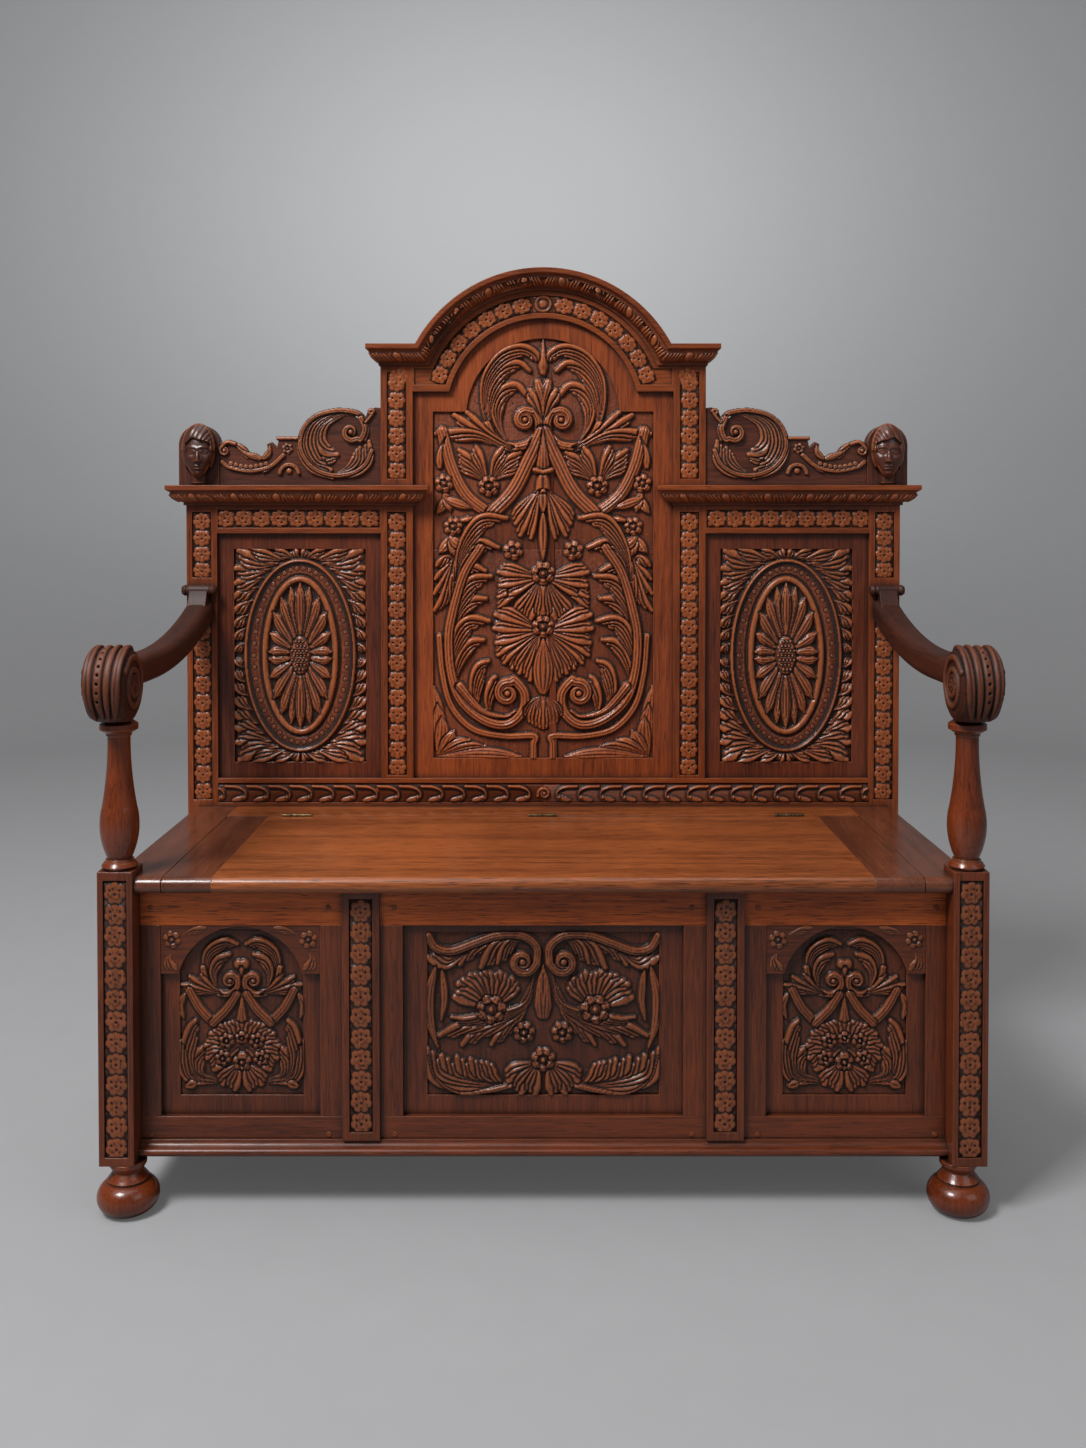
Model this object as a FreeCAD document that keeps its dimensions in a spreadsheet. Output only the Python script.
"""A carved oak box settle: a panelled storage box with a hinged lid for a seat, a tall back
with an arched middle bay under a moulded cornice, and swept arms on turned balusters.

Millimetres, +Z up, +X to the sitter's left when seated (the right of a front view), -Y to the
front. The origin is on the floor under the middle of the whole settle.
"""

import FreeCAD, Part
import os
import re
import Sketcher
from FreeCAD import Vector

# Driving dimensions, each written once. Heights named *_height or *_rise are along Z,
# *_depth and *_thickness along Y unless the piece lies flat, *_width and *_spread along X.
DIMENSIONS = {
    # the whole settle
    "post_spread": 1270,
    "seat_height": 487,
    "seat_depth": 480,
    # front posts, their turned feet and the balusters on top
    "post_size": 50,
    "post_rise": 10,
    "foot_height": 74,
    "foot_radius": 44,
    "foot_inset": 9,
    "spigot_radius": 10,
    "spigot_length": 22,
    "baluster_height": 215,
    "baluster_radius": 27,
    "baluster_neck": 16,
    # arms with a scrolled end in front and a beaded roll at the back stile
    "arm_width": 46,
    "arm_thickness": 44,
    "arm_rounding": 15,
    "arm_lift": 12,
    "arm_level_length": 150,
    "arm_sweep": 66,
    "roll_radius": 10,
    "roll_length": 60,
    "scroll_radius": 53,
    "scroll_width": 58,
    "scroll_offset": 2,
    "scroll_eye": 15,
    # seat: fixed boards round a lid with clamped ends
    "lid_thickness": 24,
    "lid_side_margin": 40,
    "clamp_width": 71,
    "clamp_tongue": 14,
    "lid_gap": 1.5,
    "lid_setback": 4,
    "rear_board_depth": 79,
    "end_board_inset": 18,
    # box front
    "frame_setback": 36,
    "frame_thickness": 24,
    "top_rail_height": 53,
    "bottom_rail_height": 52,
    "box_bottom": 78,
    "corner_stile_width": 29,
    "muntin_inner": 204,
    "muntin_width": 120,
    "pilaster_width": 54,
    "pilaster_thickness": 8,
    "panel_thickness": 10,
    "panel_recess": 9,
    "panel_groove": 8,
    "panel_play": 1,
    "front_field_depth": 3,
    "front_field_foot": 28,
    "spandrel_height": 71,
    "spandrel_shoulder": 26,
    "spandrel_rise": 69,
    "spandrel_thickness": 8,
    "plinth_height": 20,
    "plinth_depth": 18,
    # box sides, back and floor
    "side_setback": 23,
    "side_rail_height": 50,
    "side_panel_thickness": 8,
    "floor_thickness": 12,
    "ledge_size": 18,
    "tenon_length": 12,
    "tenon_thickness": 8,
    # back frame
    "stile_width": 54,
    "stile_depth": 44,
    "back_thickness": 28,
    "seat_rail_rise": 50,
    "seat_rail_drop": 45,
    "centre_stile_outer": 289,
    "centre_stile_width": 57,
    "head_rail_height": 48,
    "side_bay_height": 438,
    "side_cornice_rise": 538,
    "arch_centre_rise": 698,
    "top_cornice_over_spring": 88,
    "arch_radius": 172,
    "arch_shoulder": 42,
    "centre_margin": 35,
    "oval_margin": 28,
    "field_depth": 5,
    "carving_height": 6.2,
    "oval_half_width": 99,
    "oval_half_height": 172,
    "oval_band": 29,
    # carved strips sunk in the posts, stiles and rails
    "strip_width": 34,
    "strip_margin": 12,
    "strip_depth": 3,
    # cornices
    "cornice_height": 35,
    "cornice_reach": 30,
    "top_cornice_return": 23,
    # cresting and head finials
    "crest_thickness": 16,
    "crest_stile_height": 138,
    "crest_scroll_radius": 63,
    "crest_scroll_rise": 73,
    "crest_relief": 5,
    "crest_rim": 2,
    "finial_width": 72,
    "finial_height": 108,
    "finial_thickness": 28,
    "head_height": 98,
    "head_width": 70,
    "head_depth": 60,
    # butt hinges, let into the two edges that they join
    "hinge_count": 3,
    "hinge_end_gap": 23.5,
    "hinge_length": 51,
    "hinge_leaf": 1.4,
    "hinge_leaf_height": 19,
    "knuckle_radius": 3.5,
    "knuckle_rise": 1,
    "hinge_pin_radius": 1.5,
    "running_clearance": 0.05,
    "knuckle_clearance": 0.4,
}

doc = FreeCAD.newDocument("settle")
dims = doc.addObject("Spreadsheet::Sheet", "Dims")
for row, (alias, size) in enumerate(DIMENSIONS.items(), start=1):
    dims.set(f"A{row}", alias)
    dims.set(f"B{row}", str(size))
    dims.setAlias(f"B{row}", alias)
doc.recompute()

ALIASES = re.compile(r"\b(" + "|".join(DIMENSIONS) + r")\b")
finished = {}


def number(formula):
    """The value of a formula written with the sheet's names."""
    return float(dims.evalExpression(formula))


def linked(formula):
    """The same formula as an expression that other objects of the document can hold."""
    return ALIASES.sub(r"Dims.\1", formula)


def bind(thing, place, formula):
    thing.setExpression(place, linked(formula))


def finish(name, shape_object, solids=1):
    """Names a finished sub-part of the settle and notes how many separate solids it has."""
    shape_object.Label = name
    finished[name] = (shape_object, solids)


# Places that many pieces share, as formulas. HALF is the outer face of posts and stiles.
HALF = "(post_spread / 2)"
POST_INNER = f"({HALF} - post_size)"
POST_MIDDLE = f"({HALF} - post_size / 2)"
FRONT = "(-(seat_depth + stile_depth + scroll_offset - scroll_radius) / 2)"
FRAME_FACE = f"({FRONT} + frame_setback)"
FRAME_REAR = f"({FRAME_FACE} + frame_thickness)"
BACK_FACE = f"({FRONT} + seat_depth)"
BACK_REAR = f"({BACK_FACE} + back_thickness)"
STILE_REAR = f"({BACK_FACE} + stile_depth)"
LID_UNDER = "(seat_height - lid_thickness)"
POST_TOP = "(seat_height + post_rise)"
TOP_RAIL_UNDER = f"({LID_UNDER} - top_rail_height)"
BOTTOM_RAIL_TOP = "(box_bottom + bottom_rail_height)"
MUNTIN_OUTER = "(muntin_inner + muntin_width)"
CORNER_STILE = f"({POST_INNER} - corner_stile_width)"
STILE_INNER = f"({HALF} - stile_width)"
CENTRE_INNER = "(centre_stile_outer - centre_stile_width)"
SEAT_RAIL_TOP = "(seat_height + seat_rail_rise)"
BAY_TOP = f"({SEAT_RAIL_TOP} + side_bay_height)"
SIDE_CORNICE = "(seat_height + side_cornice_rise)"
CREST_BASE = f"({SIDE_CORNICE} + cornice_height)"
ARCH_CENTRE = "(seat_height + arch_centre_rise)"
TOP_CORNICE = f"({ARCH_CENTRE} + top_cornice_over_spring)"
HINGE_Y = f"({BACK_FACE} - rear_board_depth)"
HINGE_Z = "(seat_height + knuckle_rise)"
LID_HALF = f"({POST_INNER} - lid_side_margin)"
ARM_LEVEL = f"({POST_TOP} + baluster_height + scroll_radius - 1 + arm_lift)"
ROLL_Z = f"({ARM_LEVEL} + arm_sweep + arm_thickness / 2 + roll_radius)"
FOOT_X = f"({POST_MIDDLE} - foot_inset)"


# Boards, booleans and mirrored pieces

def board(name, x, y, z):
    """A sawn board between six planes, each a pair (low, high) of formulas."""
    box = doc.addObject("Part::Box", name)
    for prop, axis, (low, high) in (("Length", "x", x), ("Width", "y", y), ("Height", "z", z)):
        bind(box, prop, f"({high}) - ({low})")
        bind(box, f"Placement.Base.{axis}", low)
    return box


def joined(name, pieces):
    fuse = doc.addObject("Part::MultiFuse", name)
    fuse.Shapes = pieces
    return fuse


def cut_by(name, base, tools):
    """base with every tool taken out of it."""
    cut = doc.addObject("Part::Cut", name)
    cut.Base = base
    cut.Tool = tools[0] if len(tools) == 1 else joined(name + "_tools", tools)
    return cut


def common(name, first, second):
    both = doc.addObject("Part::Common", name)
    both.Base = first
    both.Tool = second
    return both


def mirrored(name, source):
    """The same piece on the other side of the settle."""
    mirror = doc.addObject("Part::Mirroring", name)
    mirror.Source = source
    mirror.Normal = (1, 0, 0)
    return mirror


def both_sides(stem, right):
    """Finishes a piece of the right-hand side and its mirror image."""
    finish(stem + "_right", right)
    finish(stem + "_left", mirrored(stem + "_left", right))


def cylinder(name, centre, radius, length, turn):
    """A cylinder that starts at centre and runs along the direction that turn gives to Z."""
    rod = doc.addObject("Part::Cylinder", name)
    rod.Placement = FreeCAD.Placement(Vector(), turn)
    bind(rod, "Radius", radius)
    bind(rod, "Height", length)
    for axis, formula in zip("xyz", centre):
        bind(rod, f"Placement.Base.{axis}", formula)
    return rod


ALONG_X = FreeCAD.Rotation(Vector(0, 1, 0), 90)
ALONG_Y = FreeCAD.Rotation(Vector(1, 0, 0), -90)
ALONG_Z = FreeCAD.Rotation()


# Sketched outlines

def pin_point(sketch, geometry, end, u, v):
    """Holds one point of a sketch at two formulas."""
    for kind, formula, axis in (("DistanceX", u, -2), ("DistanceY", v, -1)):
        place = number(formula)
        if abs(place) < 1e-9:
            sketch.addConstraint(Sketcher.Constraint("PointOnObject", geometry, end, axis))
        elif place > 0:
            held = sketch.addConstraint(Sketcher.Constraint(kind, -1, 1, geometry, end, place))
            bind(sketch, f"Constraints[{held}]", formula)
        else:
            held = sketch.addConstraint(Sketcher.Constraint(kind, geometry, end, -1, 1, -place))
            bind(sketch, f"Constraints[{held}]", f"-({formula})")


def draw(sketch, points, closed=True):
    """Draws an outline. A corner is (u, v); ("arc", u, v) between two corners is a point
    that the arc from one to the other passes through."""
    corners, through = [], {}
    for point in points:
        if point[0] == "arc":
            through[len(corners) - 1] = point[1:]
        else:
            corners.append(point)
    places = [Vector(number(u), number(v), 0) for u, v in corners]
    edges, reversed_arc = [], []
    if not closed:
        last_corner = corners.pop()
    for i, start in enumerate(places[:len(corners)]):
        end = places[(i + 1) % len(places)]
        flip = False
        if i in through:
            middle = Vector(number(through[i][0]), number(through[i][1]), 0)
            flip = (middle - start).cross(end - middle).z < 0
            curve = Part.Arc(end, middle, start) if flip else Part.Arc(start, middle, end)
        else:
            curve = Part.LineSegment(start, end)
        edges.append(sketch.addGeometry(curve, False))
        reversed_arc.append(flip)
    for i, edge in enumerate(edges if closed else edges[:-1]):
        after = (i + 1) % len(edges)
        own_end = 1 if reversed_arc[i] else 2
        next_start = 2 if reversed_arc[after] else 1
        sketch.addConstraint(
            Sketcher.Constraint("Coincident", edge, own_end, edges[after], next_start)
        )
    for i, corner in enumerate(corners):
        pin_point(sketch, edges[i], 2 if reversed_arc[i] else 1, *corner)
    if not closed:
        pin_point(sketch, edges[-1], 1 if reversed_arc[-1] else 2, *last_corner)
    for i, (u, v) in through.items():
        spot = sketch.addGeometry(Part.Point(Vector(number(u), number(v), 0)), True)
        pin_point(sketch, spot, 1, u, v)
        sketch.addConstraint(Sketcher.Constraint("PointOnObject", spot, 1, edges[i]))


def sketch_in(body, name, plane, points, closed=True):
    sketch = body.newObject("Sketcher::SketchObject", name)
    origin_plane = [f for f in body.Origin.OriginFeatures if f.Role == plane][0]
    sketch.AttachmentSupport = [(origin_plane, "")]
    sketch.MapMode = "FlatFace"
    doc.recompute()
    draw(sketch, points, closed)
    return sketch


def move_to(thing, x="0", y="0", z="0"):
    for axis, formula in (("x", x), ("y", y), ("z", z)):
        bind(thing, f"Placement.Base.{axis}", formula)


def shaped_board(name, points, y):
    """A board with a sawn outline in X and Z, between two planes of Y."""
    body = doc.addObject("PartDesign::Body", name)
    sketch = sketch_in(body, name + "_outline", "XZ_Plane", points)
    pad = body.newObject("PartDesign::Pad", name + "_pad")
    pad.Profile = sketch
    bind(pad, "Length", f"({y[1]}) - ({y[0]})")
    move_to(body, y=y[1])
    return body


def run_of(name, points, x):
    """A moulding or nosed board: a section in Y and Z, run between two planes of X."""
    body = doc.addObject("PartDesign::Body", name)
    sketch = sketch_in(body, name + "_section", "YZ_Plane", points)
    pad = body.newObject("PartDesign::Pad", name + "_pad")
    pad.Profile = sketch
    bind(pad, "Length", f"({x[1]}) - ({x[0]})")
    move_to(body, x=x[0])
    return body


def turning(name, points, axis):
    """A turned piece: half a section, revolved about the sketch's H_Axis or V_Axis."""
    body = doc.addObject("PartDesign::Body", name)
    sketch = sketch_in(body, name + "_section", "XZ_Plane", points)
    turn = body.newObject("PartDesign::Revolution", name + "_turn")
    turn.Profile = sketch
    turn.ReferenceAxis = (sketch, [axis])
    turn.Angle = 360
    return body


# Joints between the members of the frames. Each tenon is one block, added to its own piece
# and taken out of the piece that it enters.

def end_tenons(name, inner_x, y_middle, z):
    """A tenon at each end of a rail that runs between the two posts or stiles."""
    height = f"({z[1]}) - ({z[0]})"
    lip = f"({height}) / 5"
    depth = (f"{y_middle} - tenon_thickness / 2", f"{y_middle} + tenon_thickness / 2")
    rise = (f"{z[0]} + {lip}", f"{z[1]} - {lip}")
    right = board(name + "_tenon_r", (inner_x, f"{inner_x} + tenon_length"), depth, rise)
    left = board(name + "_tenon_l", (f"-{inner_x} - tenon_length", f"-{inner_x}"), depth, rise)
    return right, left


def build_front_posts(mortises):
    """Square front posts with a sunk strip for the carving, bored for foot and baluster."""
    x = (POST_INNER, HALF)
    y = (FRONT, f"{FRONT} + post_size")
    blank = board("post_blank", x, y, ("foot_height", POST_TOP))
    strip_x = (f"{POST_MIDDLE} - strip_width / 2", f"{POST_MIDDLE} + strip_width / 2")
    strip = board("post_strip", strip_x, (f"{FRONT} - 1", f"{FRONT} + strip_depth"),
                  ("foot_height + strip_margin", f"{POST_TOP} - strip_margin"))
    middle_y = f"{FRONT} + post_size / 2"
    foot_hole = cylinder("foot_hole", (FOOT_X, middle_y, "foot_height"),
                         "spigot_radius", "spigot_length", ALONG_Z)
    baluster_hole = cylinder("baluster_hole", (POST_MIDDLE, middle_y, f"{POST_TOP} - spigot_length"),
                             "spigot_radius", "spigot_length", ALONG_Z)
    both_sides("front_post", cut_by("front_post_right", blank,
                                    [strip, foot_hole, baluster_hole, *mortises]))


def build_feet():
    """Bun feet: a flattened ball, a ring and a hollow neck, with a spigot into the post. They
    stand a little inward of the posts' middle."""
    foot = turning("bun_foot_right", [
        ("0", "0"),
        ("foot_radius * 0.58", "0"),
        ("arc", "foot_radius", "foot_height * 0.3"),
        ("foot_radius * 0.62", "foot_height * 0.61"),
        ("foot_radius * 0.67", "foot_height * 0.65"),
        ("foot_radius * 0.6", "foot_height * 0.7"),
        ("foot_radius * 0.48", "foot_height * 0.8"),
        ("foot_radius * 0.6", "foot_height * 0.92"),
        ("foot_radius * 0.6", "foot_height"),
        ("spigot_radius", "foot_height"),
        ("spigot_radius", "foot_height + spigot_length"),
        ("0", "foot_height + spigot_length"),
    ], "V_Axis")
    move_to(foot, FOOT_X, f"{FRONT} + post_size / 2")
    both_sides("bun_foot", foot)


def build_balusters():
    """Vase-shaped balusters between a ringed foot and a ringed head, spigoted at both ends."""
    top = "baluster_height"
    baluster = turning("baluster_right", [
        ("0", "-spigot_length"),
        ("spigot_radius", "-spigot_length"),
        ("spigot_radius", "0"),
        ("baluster_radius * 0.85", "0"),
        ("baluster_radius * 0.95", "5"),
        ("baluster_radius * 0.82", "10"),
        ("baluster_radius * 0.74", "11"),
        ("baluster_radius * 0.74", "14"),
        ("baluster_radius * 0.62", "15"),
        ("arc", "baluster_radius", f"{top} * 0.24"),
        ("baluster_radius * 0.9", f"{top} * 0.42"),
        ("arc", "baluster_neck * 1.13", f"{top} * 0.64"),
        ("baluster_neck", f"{top} - 24"),
        ("baluster_neck * 1.12", f"{top} - 23"),
        ("baluster_neck * 1.12", f"{top} - 19"),
        ("baluster_radius * 0.78", f"{top} - 18"),
        ("baluster_radius", f"{top} - 14"),
        ("baluster_radius", f"{top} - 6"),
        ("baluster_radius * 0.78", f"{top} - 2"),
        ("baluster_neck * 1.25", f"{top} - 1"),
        ("baluster_neck * 1.25", f"{top} + 3"),
        ("spigot_radius", f"{top} + 3"),
        ("spigot_radius", f"{top} + spigot_length"),
        ("0", f"{top} + spigot_length"),
    ], "V_Axis")
    move_to(baluster, POST_MIDDLE, f"{FRONT} + post_size / 2", POST_TOP)
    both_sides("baluster", baluster)
    return baluster


def build_arms(baluster):
    """Arms that sweep down from a beaded roll at the back stile to a scroll over the baluster.
    Returns the tenon that enters the stile."""
    scroll_z = f"({POST_TOP} + baluster_height + scroll_radius - 1)"
    scroll_y = f"({FRONT} + scroll_offset)"
    start_y = "(scroll_radius * 0.3)"
    bend_y = "arm_level_length"
    end_y = "(seat_depth - scroll_offset + tenon_length)"
    bend = f"({end_y} - {bend_y})"

    body = doc.addObject("PartDesign::Body", "arm_rest")
    line = sketch_in(body, "arm_line", "YZ_Plane", [
        (start_y, "arm_lift"),
        (bend_y, "arm_lift"),
        ("arc", f"{bend_y} + {bend} * 0.5", f"arm_lift + arm_sweep * 0.2465"),
        (end_y, "arm_lift + arm_sweep"),
    ], closed=False)
    side, rise, turn = "(arm_width / 2)", "(arm_thickness / 2)", "arm_rounding"
    corner = f"{turn} * (1 - sqrt(0.5))"
    profile = []
    for right, up in ((-1, 1), (1, 1), (1, -1), (-1, -1)):
        beside = (f"{right} * {side}", f"arm_lift + {up} * ({rise} - {turn})")
        above = (f"{right} * ({side} - {turn})", f"arm_lift + {up} * {rise}")
        between = ("arc", f"{right} * ({side} - {corner})", f"arm_lift + {up} * ({rise} - {corner})")
        profile += [beside, between, above] if right * up < 0 else [above, between, beside]
    section_sketch = sketch_in(body, "arm_section", "XZ_Plane", profile)
    bind(section_sketch, "AttachmentOffset.Base.z", f"-{start_y}")
    pipe = body.newObject("PartDesign::AdditivePipe", "arm_pipe")
    pipe.Profile = section_sketch
    pipe.Spine = (line, [])
    move_to(body, POST_MIDDLE, scroll_y, scroll_z)
    beyond = board("arm_end_cut", (f"{POST_MIDDLE} - arm_width", f"{POST_MIDDLE} + arm_width"),
                   (BACK_FACE, f"{STILE_REAR} + arm_width"), ("seat_height", "seat_height * 2"))
    rest = cut_by("arm_rest_cut", body, [beyond])
    tenon_z = f"({ARM_LEVEL} + arm_sweep * 0.9)"
    arm_tenon = board("arm_tenon",
                      (f"{POST_MIDDLE} - tenon_thickness / 2", f"{POST_MIDDLE} + tenon_thickness / 2"),
                      (BACK_FACE, f"{BACK_FACE} + tenon_length"),
                      (f"{tenon_z} - arm_thickness / 4", f"{tenon_z} + arm_thickness / 4"))

    scroll = turning("arm_scroll", [
        ("-scroll_width / 2 - 2", "0"),
        ("-scroll_width / 2 - 2", "scroll_eye"),
        ("-scroll_width / 2 + 2", "scroll_eye + 2"),
        ("-scroll_width / 2", "scroll_radius - 10"),
        ("-scroll_width / 2 + 3", "scroll_radius - 4"),
        ("-scroll_width / 2 + 9", "scroll_radius - 1"),
        ("0", "scroll_radius"),
        ("scroll_width / 2 - 9", "scroll_radius - 1"),
        ("scroll_width / 2 - 3", "scroll_radius - 4"),
        ("scroll_width / 2", "scroll_radius - 10"),
        ("scroll_width / 2 - 2", "scroll_eye + 2"),
        ("scroll_width / 2 + 2", "scroll_eye"),
        ("scroll_width / 2 + 2", "0"),
    ], "H_Axis")
    move_to(scroll, POST_MIDDLE, scroll_y, scroll_z)

    bead = "roll_length * 0.17"
    roll = turning("arm_roll", [
        ("-roll_length / 2", "0"),
        ("-roll_length / 2", "roll_radius * 0.7"),
        (f"-roll_length / 2 + {bead} * 0.5", "roll_radius"),
        (f"-roll_length / 2 + {bead}", "roll_radius * 0.8"),
        (f"-roll_length / 2 + {bead} * 1.2", "roll_radius * 0.92"),
        (f"roll_length / 2 - {bead} * 1.2", "roll_radius * 0.92"),
        (f"roll_length / 2 - {bead}", "roll_radius * 0.8"),
        (f"roll_length / 2 - {bead} * 0.5", "roll_radius"),
        ("roll_length / 2", "roll_radius * 0.7"),
        ("roll_length / 2", "0"),
    ], "H_Axis")
    move_to(roll, POST_MIDDLE, f"{BACK_FACE} - roll_radius", ROLL_Z)

    cap = roll_saddle()
    whole = joined("arm_blank", [rest, arm_tenon, scroll, roll, cap])
    both_sides("arm", cut_by("arm_right", whole, [baluster]))
    return arm_tenon


def roll_saddle():
    """The hollowed web that carries the beaded roll on the rear end of the arm."""
    under = f"({ROLL_Z} - arm_thickness)"
    body = doc.addObject("PartDesign::Body", "roll_saddle")
    outline = sketch_in(body, "saddle_outline", "YZ_Plane", [
        (BACK_FACE, ROLL_Z),
        (BACK_FACE, under),
        (f"{BACK_FACE} - roll_radius * 6", f"{under} - roll_radius"),
        ("arc", f"{BACK_FACE} - roll_radius * 3.4", f"{ROLL_Z} - roll_radius * 2.9"),
        (f"{BACK_FACE} - roll_radius * 1.9", ROLL_Z),
    ])
    pad = body.newObject("PartDesign::Pad", "saddle_pad")
    pad.Profile = outline
    bind(pad, "Length", "arm_width - arm_rounding")
    move_to(body, f"{POST_MIDDLE} - (arm_width - arm_rounding) / 2")
    return body


def nosed(y_front, y_rear):
    """The section of a seat board, rounded to a half circle at the front."""
    radius = "lid_thickness / 2"
    return [
        (y_rear, "seat_height"),
        (f"{y_front} + {radius}", "seat_height"),
        ("arc", y_front, f"seat_height - {radius}"),
        (f"{y_front} + {radius}", LID_UNDER),
        (y_rear, LID_UNDER),
    ]


def build_seat(hinge_recesses):
    """The lid with its clamped ends, and the fixed boards at its ends and behind it."""
    lid_front = f"({FRONT} + lid_setback)"
    lid_rear = f"({HINGE_Y} - lid_gap / 2)"
    clamp_inner = f"({LID_HALF} - clamp_width)"
    tongue_z = ("seat_height - lid_thickness * 2 / 3", "seat_height - lid_thickness / 3")
    tongue_y = (f"{lid_front} + lid_thickness", f"{lid_rear} - lid_thickness")

    blank = run_of("lid_blank", nosed(lid_front, lid_rear), (f"-{clamp_inner}", clamp_inner))
    tongue = board("lid_tongue", (f"-{clamp_inner} - clamp_tongue", f"{clamp_inner} + clamp_tongue"),
                   tongue_y, tongue_z)
    whole = joined("lid_with_tongues", [blank, tongue])
    finish("lid_board", cut_by("lid_board", whole, hinge_recesses))

    clamp = run_of("clamp_blank", nosed(lid_front, lid_rear), (clamp_inner, LID_HALF))
    both_sides("lid_clamp", cut_by("lid_clamp_right", clamp, [tongue]))

    end_outer = f"({HALF} - end_board_inset)"
    end = run_of("end_blank", nosed(lid_front, BACK_FACE), (f"{LID_HALF} + lid_gap", end_outer))
    notch = board("end_notch", (POST_INNER, HALF), (f"{FRONT} - 1", f"{FRONT} + post_size"),
                  (f"{LID_UNDER} - 1", "seat_height + 1"))
    both_sides("seat_end_board", cut_by("seat_end_board_right", end, [notch]))

    rear_half = f"{LID_HALF} + lid_gap"
    rear = board("rear_blank", (f"-({rear_half})", rear_half),
                 (f"{HINGE_Y} + lid_gap / 2", BACK_FACE), (LID_UNDER, "seat_height"))
    finish("seat_rear_board", cut_by("seat_rear_board", rear, hinge_recesses))


def build_hinges():
    """Three butt hinges of five knuckles. The leaves stand in the gap behind the lid, and the
    knuckles show along its top. Returns the shapes to let into the lid and the rear board."""
    count = int(number("hinge_count"))
    step = "(hinge_length / 5)"
    spread = f"({LID_HALF} - clamp_width - hinge_end_gap - hinge_length / 2)"
    rail_leaves, lid_leaves, pins, recesses = [], [], [], []
    for i in range(count):
        start = f"({spread} * (2 * {i} / (hinge_count - 1) - 1) - hinge_length / 2)"
        end = f"({start} + hinge_length)"
        height = (f"{HINGE_Z} - knuckle_radius - hinge_leaf_height", HINGE_Z)
        sliver = "running_clearance"
        behind = board(f"rail_leaf_{i}", (start, end),
                       (f"{HINGE_Y} + {sliver}", f"{HINGE_Y} + hinge_leaf"), height)
        ahead = board(f"lid_leaf_{i}", (start, end),
                      (f"{HINGE_Y} - hinge_leaf", f"{HINGE_Y} - {sliver}"), height)
        pins.append(cylinder(f"pin_{i}", (start, HINGE_Y, HINGE_Z),
                             "hinge_pin_radius", "hinge_length", ALONG_X))
        bore = cylinder(f"bore_{i}", (start, HINGE_Y, HINGE_Z),
                        "hinge_pin_radius + running_clearance", "hinge_length", ALONG_X)
        recess = cylinder(f"recess_{i}", (f"{start} - knuckle_clearance", HINGE_Y, HINGE_Z),
                          "knuckle_radius + knuckle_clearance",
                          "hinge_length + 2 * knuckle_clearance", ALONG_X)
        rail_knuckles, lid_knuckles = [], []
        for k in range(5):
            inset = "running_clearance"
            knuckle = cylinder(f"knuckle_{i}_{k}", (f"{start} + {step} * {k} + {inset}", HINGE_Y, HINGE_Z),
                               "knuckle_radius", f"{step} - 2 * {inset}", ALONG_X)
            (rail_knuckles if k % 2 == 0 else lid_knuckles).append(knuckle)
            swing = cylinder(f"swing_{i}_{k}", (f"{start} + {step} * {k}", HINGE_Y, HINGE_Z),
                             "knuckle_radius + knuckle_clearance / 4", step, ALONG_X)
            if k % 2 == 0:
                ahead = cut_by(f"lid_leaf_{i}_{k}", ahead, [swing])
            else:
                behind = cut_by(f"rail_leaf_{i}_{k}", behind, [swing])
        rail_leaves.append(cut_by(f"hinge_rail_leaf_{i}", joined(f"rail_side_{i}", [behind, *rail_knuckles]),
                                  [pins[-1]]))
        lid_leaves.append(cut_by(f"hinge_lid_leaf_{i}", joined(f"lid_side_{i}", [ahead, *lid_knuckles]),
                                 [bore]))
        pocket = board(f"leaf_pocket_{i}", (start, end),
                       (f"{HINGE_Y} - hinge_leaf", f"{HINGE_Y} + hinge_leaf"), height)
        recesses.append(joined(f"hinge_recess_{i}", [recess, pocket]))
    finish("hinge_rail_leaves", grouped("hinge_rail_leaves", rail_leaves), count)
    finish("hinge_lid_leaves", grouped("hinge_lid_leaves", lid_leaves), count)
    finish("hinge_pins", grouped("hinge_pins", pins), count)
    return recesses


def grouped(name, pieces):
    """Separate solids that share one node, because they are alike."""
    group = doc.addObject("Part::Compound", name)
    group.Links = pieces
    return group


def sunk_panel(name, x, z, y_face, thickness, groove="panel_groove", play="0"):
    """A panel whose plain edges stand in the grooves of the members round its opening."""
    edge = f"({groove} - {play})"
    return board(name, (f"{x[0]} - {edge}", f"{x[1]} + {edge}"),
                 (y_face, f"{y_face} + {thickness}"),
                 (f"{z[0]} - {edge}", f"{z[1]} + {edge}"))


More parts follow.
